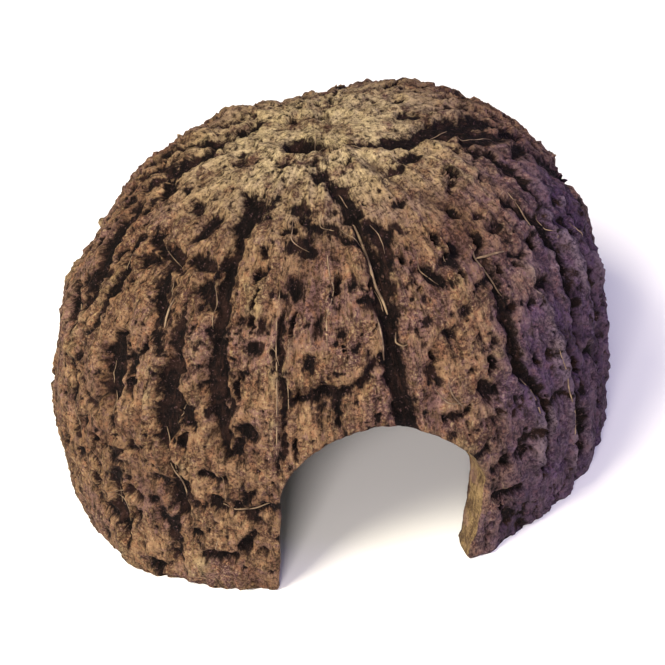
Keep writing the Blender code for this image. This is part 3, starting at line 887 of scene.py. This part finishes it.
def weathered_husk(tones):
    """Dry, weathered nut husk, its cork-like crust worn through in places.

    The crust reads as matt ochre and brown with small dark pores; the layer under it is almost black,
    with a few paler fibres; sawn faces show plain tan wood, and the lining is smoother and darker.
    """
    material, tree, shader = blank_material("weathered_nut_husk")

    def read(name):
        return node(tree, "ShaderNodeAttribute", attribute_name=name)

    def grainy(vector, scale, detail=4.0, roughness=0.6):
        settings = (("Vector", vector), ("Scale", scale), ("Detail", detail), ("Roughness", roughness))
        return node(tree, "ShaderNodeTexNoise", settings).outputs["Fac"]

    def reckoned(kind, first, second):
        return node(tree, "ShaderNodeMath", ((0, first), (1, second)), operation=kind).outputs[0]

    def plus(first, second):
        return reckoned("ADD", first, second)

    def minus(first, second):
        return reckoned("SUBTRACT", first, second)

    def times(first, second):
        return reckoned("MULTIPLY", first, second)

    def swing(value, factor):
        """How far a noise stands from its middle, times a factor."""
        return times(minus(value, 0.5), factor)

    def stretched(vector, squeeze):
        settings = (("Vector", vector), ("Scale", (1.0, 1.0, squeeze)))
        return node(tree, "ShaderNodeMapping", settings).outputs[0]

    def ramp(value, low, high, out_low=0.0, out_high=1.0):
        ends = (("From Min", low), ("From Max", high), ("To Min", out_low), ("To Max", out_high))
        made = node(tree, "ShaderNodeMapRange", (("Value", value), *ends))
        made.interpolation_type = "SMOOTHSTEP"
        return made.outputs["Result"]

    def mixed(share, first, second, blend="MIX"):
        made = node(tree, "ShaderNodeMix", ((0, share), (6, first), (7, second)), data_type="RGBA")
        made.blend_type = blend
        return made.outputs[2]

    place = node(tree, "ShaderNodeTexCoord").outputs["Object"]
    grain = read("grain").outputs["Vector"]
    streaks = stretched(grain, 0.18)
    along_ribs = stretched(grain, 0.38)

    broad = grainy(place, 1 / mm(15), 3.0)
    patches = grainy(place, 1 / mm(4.5), 5.0, 0.65)
    height = node(tree, "ShaderNodeSeparateXYZ", (("Vector", grain),)).outputs["Z"]
    crumbly = grainy(place, 1 / mm(1.3), 6.0, 0.75)
    stringy = grainy(along_ribs, 1 / 1.1, 6.0, 0.75)
    near_crown = ramp(height, 76.0, 96.0)
    fine = node(tree, "ShaderNodeMix", ((0, near_crown), (2, stringy), (3, crumbly))).outputs[0]
    dust = grainy(place, 1 / mm(0.6), 3.0, 0.75)
    fibres = grainy(streaks, 1 / 1.0, 4.0, 0.65)

    # The crust, from its ground colour up to the pores and the fibres, with painted highlight on raised
    # crust and painted glints, painted shade in its hollows, and dust with painted light from above on the
    # crown.
    crust = mixed(ramp(patches, 0.40, 0.60), tones.umber, tones.tan)
    crust = mixed(ramp(broad, 0.46, 0.62, 0.0, 0.65), crust, tones.mauve)
    crust = mixed(ramp(fine, 0.49, 0.64, 0.0, 0.85), crust, tones.ochre)
    flecks = grainy(place, 1 / mm(2.1), 3.0, 0.6)
    crust = mixed(ramp(flecks, 0.52, 0.64, 0.0, 0.6), crust, tones.rust)
    crust = mixed(ramp(flecks, 0.44, 0.34, 0.0, 0.6), crust, tones.mauve)
    crust = mixed(ramp(fibres, 0.52, 0.76, 0.0, 0.35), crust, tones.straw)
    # Straw where the crust is raised: partly paler fibrous crust, partly painted highlight.
    raised = plus(read("raised").outputs["Fac"], swing(fine, 1.2))
    crust = mixed(ramp(raised, 0.2, 1.5, 0.0, 0.65), crust, tones.straw)
    # Paler towards the crown: dust, partly painted light from above.
    dusty_and_painted_lit = times(ramp(height, 72.0, 104.0), ramp(patches, 0.32, 0.56))
    crust = mixed(times(dusty_and_painted_lit, 0.92), crust, tones.crown_dust_and_painted_light)
    # Darker where the crust lies low: partly dirt in the creases, partly painted shade.
    hollow_dirt_and_painted_shade = plus(raised, swing(dust, 2.4))
    crust = mixed(ramp(hollow_dirt_and_painted_shade, -0.3, -1.5, 0.0, 0.8), crust, tones.umber_dark)

    pore = ramp(plus(dust, swing(patches, 0.4)), 0.46, 0.40)
    crust = mixed(times(pore, 0.75), crust, tones.umber_dark)
    glint = times(ramp(dust, 0.54, 0.66, 0.0, 0.6), ramp(raised, -0.8, 0.0))
    crust = mixed(glint, crust, tones.straw)

    # The dark layer under the crust, and the uneven edge between the two.
    under = mixed(ramp(fine, 0.46, 0.68), tones.soot, tones.char)
    under = mixed(ramp(patches, 0.50, 0.64, 0.0, 0.45), under, tones.umber_dark)
    under = mixed(ramp(fibres, 0.56, 0.70, 0.0, 0.6), under, tones.umber_dark)
    under = mixed(ramp(dust, 0.60, 0.70, 0.0, 0.5), under, tones.mauve)

    wander = swing(fine, 3.0)
    wander = plus(wander, swing(fibres, 1.6))
    edge = plus(read("bare").outputs["Fac"], wander)
    shaded_edge = ramp(edge, -1.1, 0.0, 0.0, 0.6)
    crust = mixed(shaded_edge, crust, tones.umber_dark)

    # Painted violet shade: the crust at the front right is made greyer and more violet than the rest, most
    # of all low down, standing in for the violet fill light and the shade on that side.
    spot = node(tree, "ShaderNodeSeparateXYZ", (("Vector", place),))
    sideways = minus(spot.outputs["X"], times(spot.outputs["Z"], 0.35))
    sideways = plus(sideways, swing(broad, mm(30)))
    crust_in_painted_violet_shade = mixed(1.0, crust, tones.painted_violet_shade, "MULTIPLY")
    mottled_painted_violet_shade = mixed(ramp(fine, 0.44, 0.58, 0.06, 0.24), crust_in_painted_violet_shade, tones.painted_violet_mottle)
    forward = ramp(spot.outputs["Y"], mm(14), mm(-14))
    crust = mixed(times(ramp(sideways, mm(1), mm(27)), forward), crust, mottled_painted_violet_shade)
    skin = mixed(ramp(edge, -0.35, 0.3), crust, under)

    # Sawn wood at the rim and the doorway, and the lining of the den.
    saw_marks = grainy(stretched(place, 0.28), 1 / mm(1.6), 5.0, 0.7)
    wood = mixed(ramp(saw_marks, 0.36, 0.64), tones.sawn_dark, tones.sawn)
    wood = mixed(ramp(patches, 0.50, 0.70, 0.0, 0.5), wood, tones.mauve)
    wood = mixed(times(pore, 0.4), wood, tones.umber_dark)
    lining = mixed(ramp(patches, 0.35, 0.65), tones.umber_dark, tones.lining)
    lining = mixed(ramp(fibres, 0.5, 0.7, 0.0, 0.5), lining, tones.umber)

    sawn = plus(read("sawn").outputs["Fac"], swing(fine, 1.6))
    skin = mixed(ramp(sawn, 0.4, 0.85), skin, wood)
    inner = read("inner").outputs["Fac"]
    skin = mixed(ramp(inner, 0.3, 0.7), skin, lining)
    tree.links.new(skin, shader.inputs["Base Color"])

    shader.inputs["Roughness"].default_value = 0.88
    shader.inputs["Specular IOR Level"].default_value = 0.1

    crumb = plus(times(fine, 0.8), times(dust, 0.35))
    crumb = plus(crumb, times(fibres, 0.25))
    crumb = minus(crumb, times(pore, 0.25))
    bump = node(tree, "ShaderNodeBump", (("Height", crumb), ("Strength", 0.8), ("Distance", mm(1.1))))
    tree.links.new(bump.outputs["Normal"], shader.inputs["Normal"])
    return material


def dry_fibre(pale, dull):
    """Dry bast fibre, split from the husk: pale matt straw, duller and browner in places along it."""
    material, tree, shader = blank_material("dry_bast_fibre")
    place = node(tree, "ShaderNodeTexCoord").outputs["Object"]
    tone = node(tree, "ShaderNodeTexNoise", (("Vector", place), ("Scale", 1 / mm(2.5)), ("Detail", 4.0)))
    ends = (("Value", tone.outputs["Fac"]), ("From Min", 0.4), ("From Max", 0.6))
    share = node(tree, "ShaderNodeMapRange", ends)
    shade = node(tree, "ShaderNodeMix", ((0, share.outputs[0]), (6, dull), (7, pale)), data_type="RGBA")
    tree.links.new(shade.outputs[2], shader.inputs["Base Color"])
    shader.inputs["Roughness"].default_value = 0.75
    shader.inputs["Specular IOR Level"].default_value = 0.2
    return material


def plain_floor(colour):
    """Seamless studio paper: even, matt and pale."""
    material, tree, shader = blank_material("studio_paper")
    place = node(tree, "ShaderNodeTexCoord").outputs["Object"]
    tooth = node(tree, "ShaderNodeTexNoise", (("Vector", place), ("Scale", 1 / mm(2.0)), ("Detail", 3.0)))
    ends = (("Value", tooth.outputs["Fac"]), ("To Min", 0.97), ("To Max", 1.0))
    tone = node(tree, "ShaderNodeMapRange", ends)
    tones = ((0, tone.outputs[0]), (6, srgb("#e8e8e8")), (7, colour))
    shade = node(tree, "ShaderNodeMix", tones, data_type="RGBA")
    tree.links.new(shade.outputs[2], shader.inputs["Base Color"])
    shader.inputs["Roughness"].default_value = 0.9
    shader.inputs["Specular IOR Level"].default_value = 0.1
    return material


# --- Settings ---------------------------------------------------------------------------------------


def colour_setting(name, description, text):
    """A colour property, given as an sRGB hex value."""
    return bpy.props.FloatVectorProperty(
        name=name, description=description, subtype="COLOR", size=4, min=0.0, max=1.0, default=srgb(text))


def share_setting(name, description, low):
    """A factor of 1, no less than low."""
    return bpy.props.FloatProperty(
        name=name, description=description, default=1.0, min=low, subtype="FACTOR")


def length_setting(name, description, default, low):
    """A length in metres, no less than low."""
    return bpy.props.FloatProperty(
        name=name, description=description, default=default, min=low, unit="LENGTH")


def angle_setting(name, description, degrees):
    """An angle, given in degrees."""
    return bpy.props.FloatProperty(
        name=name, description=description, default=math.radians(degrees), subtype="ANGLE")


class HuskSettings(bpy.types.PropertyGroup):
    """Sizes and colours of the husk."""

    wall: length_setting("Wall", "Thickness of the husk", mm(8.2), mm(2))
    relief: share_setting("Relief", "Share of the full depth that the surface is carved to", 0.0)
    skin_step: length_setting("Skin Step", "Spacing of the even mesh that is carved", mm(0.45), mm(0.3))
    triangles: bpy.props.IntProperty(
        name="Triangles", description="Triangles left on the finished husk", default=196000, min=20000)
    tan: colour_setting("Tan", "Sound crust", "#967659")
    ochre: colour_setting("Ochre", "Crust rubbed clean", "#b08c60")
    straw: colour_setting("Straw", "Raised and fibrous crust", "#bda87b")
    umber: colour_setting("Umber", "Crust in the hollows", "#6d5040")
    umber_dark: colour_setting("Dark Umber", "Shaded crust and dull fibres", "#33211c")
    mauve: colour_setting("Mauve", "Greyed crust", "#77595a")
    soot: colour_setting("Soot", "The dark layer under the crust", "#0a0606")
    char: colour_setting("Char", "Lighter parts of the dark layer", "#1b110f")
    sawn: colour_setting("Sawn Wood", "Sawn rim and doorway", "#8a7350")
    sawn_dark: colour_setting("Sawn Grain", "Grain of the sawn wood", "#544231")
    # Dust on the crown, partly painted light from above.
    crown_dust_and_painted_light: colour_setting("Crown Dust And Painted Light", "Dusty crust of the crown, partly painted light from above", "#cbb78d")
    rust: colour_setting("Rust", "Redder flecks in the crust", "#93674b")
    lining: colour_setting("Lining", "Inner wall of the husk", "#5c4738")
    # Painted violet shade and its mottle, laid over the crust at the front right.
    painted_violet_mottle: colour_setting("Painted Violet Mottle", "Painted violet grey mottle in the shade at the front right", "#60556a")
    painted_violet_shade: colour_setting("Painted Violet Shade", "Painted violet shade on the crust at the front right", "#b0aefb")


class FibreSettings(bpy.types.PropertyGroup):
    """Thickness and colours of the loose fibres."""

    thickness: share_setting("Thickness", "Share of the strands' own radius", 0.1)
    pale: colour_setting("Pale", "Clean strands", "#8c775f")
    dull: colour_setting("Dull", "Weathered strands", "#58473a")


class StageSettings(bpy.types.PropertyGroup):
    """Camera, light and floor."""

    azimuth: angle_setting("Azimuth", "Direction of the view round the pod", -7.0)
    elevation: angle_setting("Elevation", "Height of the view over the horizon", 38.98)
    roll: angle_setting("Roll", "Turn of the camera about its own axis", 9.24)
    distance: length_setting("Distance", "From the camera to the pod", 0.361, 0.1)
    lens: bpy.props.FloatProperty(
        name="Lens", description="Focal length in millimetres on a 36 mm sensor", default=89.1, min=10.0)
    floor: colour_setting("Floor", "Studio paper", "#f4f4f4")


# --- Operators --------------------------------------------------------------------------------------


class POD_OT_husk(bpy.types.Operator):
    """Cut, remesh and carve the husk, and give it its weathered finish"""

    bl_idname = "pod.husk"
    bl_label = "Make Husk"
    bl_options = {"REGISTER", "UNDO"}

    def execute(self, context):
        settings = context.scene.pod_husk
        wall = settings.wall / MM
        husk = turned_blank("husk", OUTER_SEGMENTS, OUTER_RINGS, 0.0)
        cut_away(husk, turned_blank("den_blank", INNER_SEGMENTS, INNER_RINGS, wall))
        cut_away(husk, doorway_block())
        cut_away(husk, saw_block())

        pick(husk)
        husk.data.remesh_voxel_size = settings.skin_step
        husk.data.use_remesh_fix_poles = False
        bpy.ops.object.voxel_remesh()
        wear_edges(husk, wall)
        carve_husk(husk, wall, settings.relief)
        thin_out(husk, settings.triangles)
        points = coordinates(husk)
        points[:, :2] += FOOTING
        put_coordinates(husk, points)

        husk.data.materials.clear()
        husk.data.materials.append(weathered_husk(settings))
        husk.data.shade_smooth()
        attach(husk, "root")
        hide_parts("pod_shell")
        return {"FINISHED"}


def area_light(name, place, target, size, power, colour):
    """A soft square lamp at a place, aimed at a target."""
    start_clean()
    bpy.ops.object.light_add(type="AREA", location=place)
    lamp = bpy.context.object
    lamp.name = name
    lamp.data.size = size
    lamp.data.energy = power
    lamp.data.color = colour
    lamp.rotation_euler = (target - place).to_track_quat("-Z", "Y").to_euler()


class POD_OT_fibres(bpy.types.Operator):
    """Lay the loose strands that have come away from the husk's fibrous layers"""

    bl_idname = "pod.fibres"
    bl_label = "Make Loose Fibres"
    bl_options = {"REGISTER", "UNDO"}

    def execute(self, context):
        settings = context.scene.pod_fibres
        mesh = bpy.data.objects["husk"].data
        corners = [vert.co for vert in mesh.vertices]
        tree = BVHTree.FromPolygons(corners, [face.vertices for face in mesh.polygons])
        curve = bpy.data.curves.new("loose_fibres", "CURVE")
        curve.dimensions = "3D"
        curve.bevel_depth = mm(1.0)
        curve.bevel_resolution = 1
        curve.use_fill_caps = True
        for radius, lift, spots in strand_paths():
            levels = np.linspace(0, len(spots) - 1, STRAND_STEPS * (len(spots) - 1) + 1)
            azimuths = np.interp(levels, range(len(spots)), [spot[0] for spot in spots])
            rises = np.interp(levels, range(len(spots)), [spot[1] for spot in spots])
            rises = np.maximum(rises, STRAND_LOWEST)
            places = [on_husk(tree, azimuth, rise, lift) for azimuth, rise in zip(azimuths, rises)]
            if None in places:
                continue
            for _ in range(STRAND_SMOOTHING):
                trios = zip(places, places[1:], places[2:])
                inner = [(one + two * 2 + three) / 4 for one, two, three in trios]
                places = [places[0], *inner, places[-1]]
            spline = curve.splines.new("POLY")
            spline.points.add(len(places) - 1)
            for index, (point, spot) in enumerate(zip(spline.points, places)):
                belly = math.sin(math.pi * index / (len(places) - 1)) ** 0.5
                point.co = (*spot, 1.0)
                point.radius = radius * settings.thickness * (STRAND_TIP + (1 - STRAND_TIP) * belly)
        fibres = bpy.data.objects.new("loose_fibres", curve)
        context.collection.objects.link(fibres)
        pick(fibres)
        bpy.ops.object.convert(target="MESH")
        fibres = context.object
        fibres.data.materials.clear()
        fibres.data.materials.append(dry_fibre(settings.pale, settings.dull))
        fibres.data.shade_smooth()
        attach(fibres, "root")
        return {"FINISHED"}


class POD_OT_stage(bpy.types.Operator):
    """Set the pod on a pale floor under soft studio light, with the camera"""

    bl_idname = "pod.stage"
    bl_label = "Make Studio"
    bl_options = {"REGISTER", "UNDO"}

    def execute(self, context):
        settings = context.scene.pod_stage
        start_clean()
        bpy.ops.mesh.primitive_plane_add(size=FLOOR_SIZE, location=(0, 0, 0))
        floor = context.object
        floor.name = "studio_floor"
        floor.data.materials.append(plain_floor(settings.floor))

        middle = Vector(LAMP_TARGET)
        for name, azimuth, elevation, distance, size, power, colour in LAMPS:
            place = middle + distance * direction(azimuth, elevation)
            area_light(name, place, middle, size, power, colour)

        world = bpy.data.worlds.new("studio")
        context.scene.world = world
        world.use_nodes = True
        backdrop = world.node_tree.nodes["Background"]
        backdrop.inputs["Color"].default_value = srgb("#ffffff")
        backdrop.inputs["Strength"].default_value = SKY_STRENGTH
        context.scene.view_settings.view_transform = "Standard"

        target = Vector([mm(length) for length in VIEW_TARGET])
        turn, lift, roll = settings.azimuth, settings.elevation, settings.roll
        back = direction(math.degrees(turn), math.degrees(lift))
        level = Vector((math.cos(turn), math.sin(turn), 0))
        up = back.cross(level)
        right = level * math.cos(roll) - up * math.sin(roll)
        over = level * math.sin(roll) + up * math.cos(roll)
        start_clean()
        bpy.ops.object.camera_add(location=target + back * settings.distance)
        camera = context.object
        camera.name = "camera"
        camera.rotation_euler = Matrix((right, over, back)).transposed().to_euler()
        camera.data.lens = settings.lens
        camera.data.sensor_width = SENSOR_WIDTH
        camera.data.clip_start = 0.01
        context.scene.camera = camera
        return {"FINISHED"}


class POD_PT_panel(bpy.types.Panel):
    """Lists the steps that make the pod"""

    bl_idname = "POD_PT_panel"
    bl_label = "Nut Pod"
    bl_space_type = "VIEW_3D"
    bl_region_type = "UI"
    bl_category = "Nut Pod"

    def draw(self, context):
        for settings in (context.scene.pod_husk, context.scene.pod_fibres, context.scene.pod_stage):
            for name in settings.__annotations__:
                self.layout.prop(settings, name)
        for step in STEPS:
            self.layout.operator(step.bl_idname)


STEPS = (POD_OT_husk, POD_OT_fibres, POD_OT_stage)
CLASSES = (HuskSettings, FibreSettings, StageSettings) + STEPS + (POD_PT_panel,)


def register():
    """Register the classes and attach their settings to the scene."""
    for kind in CLASSES:
        bpy.utils.register_class(kind)
    bpy.types.Scene.pod_husk = bpy.props.PointerProperty(type=HuskSettings)
    bpy.types.Scene.pod_fibres = bpy.props.PointerProperty(type=FibreSettings)
    bpy.types.Scene.pod_stage = bpy.props.PointerProperty(type=StageSettings)


def unregister():
    """Take the settings and classes away again."""
    del bpy.types.Scene.pod_stage
    del bpy.types.Scene.pod_fibres
    del bpy.types.Scene.pod_husk
    for kind in reversed(CLASSES):
        bpy.utils.unregister_class(kind)


def main():
    """Make every piece and the studio."""
    register()
    bpy.ops.pod.husk()
    bpy.ops.pod.fibres()
    bpy.ops.pod.stage()


if __name__ == "__main__":
    main()
